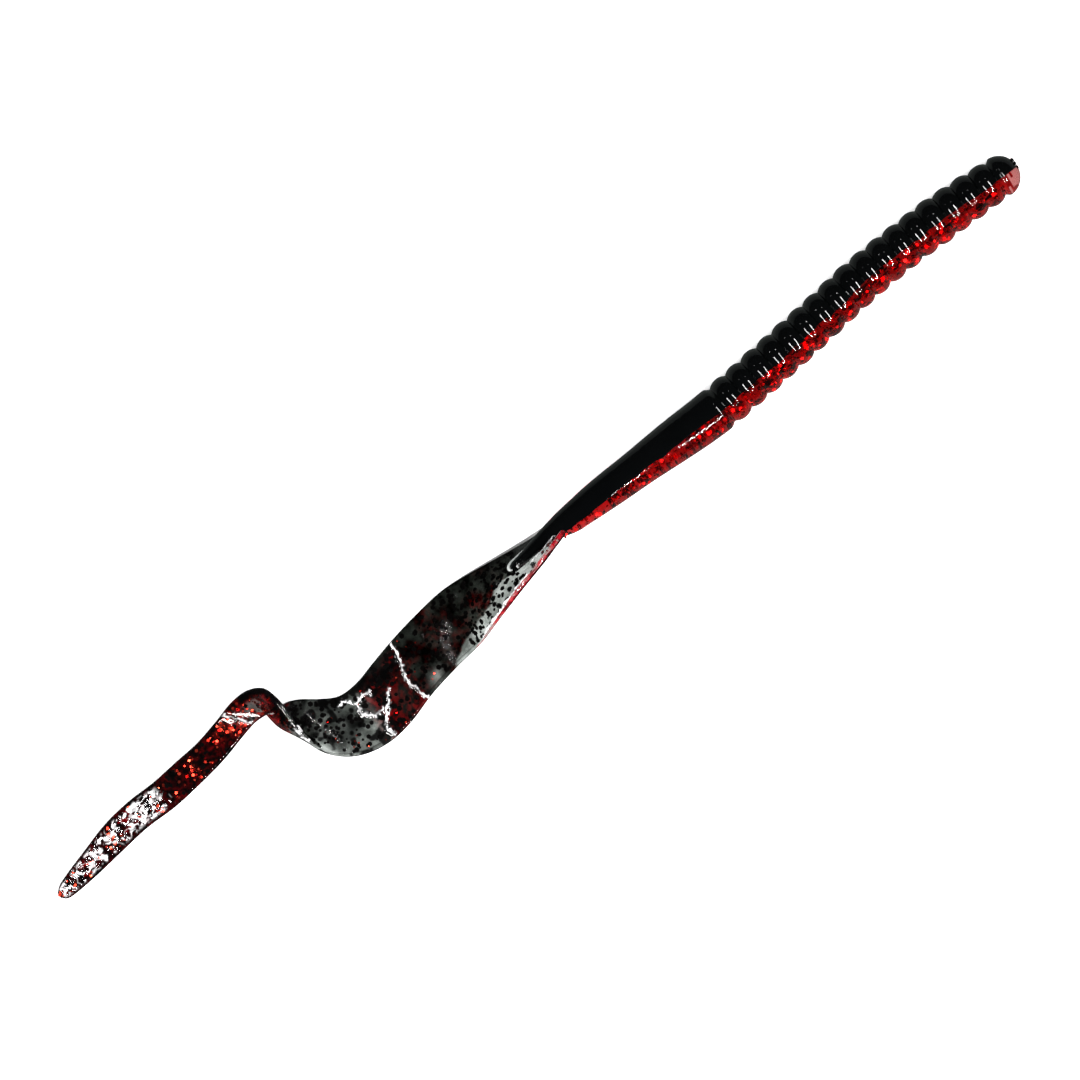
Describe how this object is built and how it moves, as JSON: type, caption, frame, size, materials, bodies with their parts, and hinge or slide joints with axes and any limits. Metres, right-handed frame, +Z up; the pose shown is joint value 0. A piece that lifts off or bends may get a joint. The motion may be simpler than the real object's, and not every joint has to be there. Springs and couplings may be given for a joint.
{
  "type": "soft plastic worm",
  "caption": "Ribbon-tail soft plastic fishing worm: ringed round body, smooth tapering shank and a flat twisting ribbon tail, black back over a red flaked belly.",
  "frame": {"origin": "under the middle of the worm's bounding box, on the flat surface that it lies on", "axes": "+X along the body towards the nose, +Z up from the surface, +Y the side that the black back faces"},
  "size_m": [0.2404, 0.0262, 0.0129],
  "materials": {
    "black_back": "wet gloss",
    "red_belly": "translucent gloss with red flakes",
    "smoke_ribbon": "smoky translucent gloss with black and red flakes"
  },
  "bodies": {
    "head": {"head_back": "black_back", "head_belly": "red_belly"},
    "rings_1": {"rings_1_back": "black_back", "rings_1_belly": "red_belly"},
    "rings_2": {"rings_2_back": "black_back", "rings_2_belly": "red_belly"},
    "rings_3": {"rings_3_back": "black_back", "rings_3_belly": "red_belly"},
    "rings_4": {"rings_4_back": "black_back", "rings_4_belly": "red_belly"},
    "rings_5": {"rings_5_back": "black_back", "rings_5_belly": "red_belly"},
    "shank_front": {"shank_front_back": "black_back", "shank_front_belly": "red_belly"},
    "shank_rear": {"shank_rear_back": "black_back", "shank_rear_belly": "red_belly"},
    "tail_root": {"tail_root_back": "black_back", "tail_root_belly": "red_belly", "tail_root_web": "smoke_ribbon"},
    "ribbon_wide_1": {"ribbon_wide_1": "smoke_ribbon"},
    "ribbon_wide_2": {"ribbon_wide_2": "smoke_ribbon"},
    "ribbon_wide_3": {"ribbon_wide_3": "smoke_ribbon"},
    "ribbon_fold": {"ribbon_fold": "smoke_ribbon"},
    "ribbon_narrow_1": {"ribbon_narrow_1": "smoke_ribbon"},
    "ribbon_narrow_2": {"ribbon_narrow_2": "smoke_ribbon"},
    "ribbon_narrow_3": {"ribbon_narrow_3": "smoke_ribbon"},
    "ribbon_tip": {"ribbon_tip": "smoke_ribbon"}
  },
  "joints": [
    {"name": "rings_1_lift", "type": "hinge", "parent": "head", "child": "rings_1", "pos_m": [0.1067, -0.0002, 0.00485], "axis": [0, 1, 0], "range_deg": [-16, 16], "stiffness_Nm_per_rad": 0.02},
    {"name": "rings_2_sway", "type": "hinge", "parent": "rings_1", "child": "rings_2", "pos_m": [0.0943, 0.0003, 0.00485], "axis": [0, 0, 1], "range_deg": [-16, 16], "stiffness_Nm_per_rad": 0.02},
    {"name": "rings_3_lift", "type": "hinge", "parent": "rings_2", "child": "rings_3", "pos_m": [0.0819, 0.0002, 0.00485], "axis": [0, 1, 0], "range_deg": [-16, 16], "stiffness_Nm_per_rad": 0.02},
    {"name": "rings_4_sway", "type": "hinge", "parent": "rings_3", "child": "rings_4", "pos_m": [0.0694, -0.0007, 0.00485], "axis": [0, 0, 1], "range_deg": [-16, 16], "stiffness_Nm_per_rad": 0.02},
    {"name": "rings_5_lift", "type": "hinge", "parent": "rings_4", "child": "rings_5", "pos_m": [0.057, -0.0015, 0.00485], "axis": [0, 1, 0], "range_deg": [-16, 16], "stiffness_Nm_per_rad": 0.02},
    {"name": "shank_front_sway", "type": "hinge", "parent": "rings_5", "child": "shank_front", "pos_m": [0.0446, -0.0021, 0.00485], "axis": [0, 0, 1], "range_deg": [-16, 16], "stiffness_Nm_per_rad": 0.012},
    {"name": "shank_rear_lift", "type": "hinge", "parent": "shank_front", "child": "shank_rear", "pos_m": [0.0248, -0.0015, 0.0056], "axis": [0, 1, 0], "range_deg": [-16, 16], "stiffness_Nm_per_rad": 0.012},
    {"name": "tail_root_flex", "type": "hinge", "parent": "shank_rear", "child": "tail_root", "pos_m": [0.005, -0.0011, 0.0062], "axis": [0, -0.454, 0.891], "range_deg": [-16, 16], "stiffness_Nm_per_rad": 0.006},
    {"name": "ribbon_wide_1_flex", "type": "hinge", "parent": "tail_root", "child": "ribbon_wide_1", "pos_m": [-0.01295, -0.00202, 0.00565], "axis": [0, -0.6977, 0.7164], "range_deg": [-25, 25], "stiffness_Nm_per_rad": 0.002},
    {"name": "ribbon_wide_2_flex", "type": "hinge", "parent": "ribbon_wide_1", "child": "ribbon_wide_2", "pos_m": [-0.02587, -0.00308, 0.00145], "axis": [-0.0187, -0.9935, 0.1125], "range_deg": [-25, 25], "stiffness_Nm_per_rad": 0.002},
    {"name": "ribbon_wide_3_twist", "type": "hinge", "parent": "ribbon_wide_2", "child": "ribbon_wide_3", "pos_m": [-0.03925, -0.00515, 0.0007], "axis": [-0.9974, 0.0723, 0], "range_deg": [-20, 20], "stiffness_Nm_per_rad": 0.002},
    {"name": "ribbon_fold_flex", "type": "hinge", "parent": "ribbon_wide_3", "child": "ribbon_fold", "pos_m": [-0.0525, -0.0063, 0.0008], "axis": [-0.1544, -0.9879, 0.0154], "range_deg": [-25, 25], "stiffness_Nm_per_rad": 0.002},
    {"name": "ribbon_narrow_1_flex", "type": "hinge", "parent": "ribbon_fold", "child": "ribbon_narrow_1", "pos_m": [-0.0657, 0.00935, 0.00205], "axis": [0.0896, 0.9108, 0.4031], "range_deg": [-25, 25], "stiffness_Nm_per_rad": 0.001},
    {"name": "ribbon_narrow_2_twist", "type": "hinge", "parent": "ribbon_narrow_1", "child": "ribbon_narrow_2", "pos_m": [-0.07645, 0.00784, 0.0007], "axis": [-0.9321, -0.3621, 0], "range_deg": [-20, 20], "stiffness_Nm_per_rad": 0.001},
    {"name": "ribbon_narrow_3_flex", "type": "hinge", "parent": "ribbon_narrow_2", "child": "ribbon_narrow_3", "pos_m": [-0.08919, 0.00654, 0.0007], "axis": [-0.0879, 0.9961, 0], "range_deg": [-25, 25], "stiffness_Nm_per_rad": 0.001},
    {"name": "ribbon_tip_flex", "type": "hinge", "parent": "ribbon_narrow_3", "child": "ribbon_tip", "pos_m": [-0.10267, 0.00613, 0.0007], "axis": [0.1772, 0.9842, 0], "range_deg": [-25, 25], "stiffness_Nm_per_rad": 0.001}
  ]
}
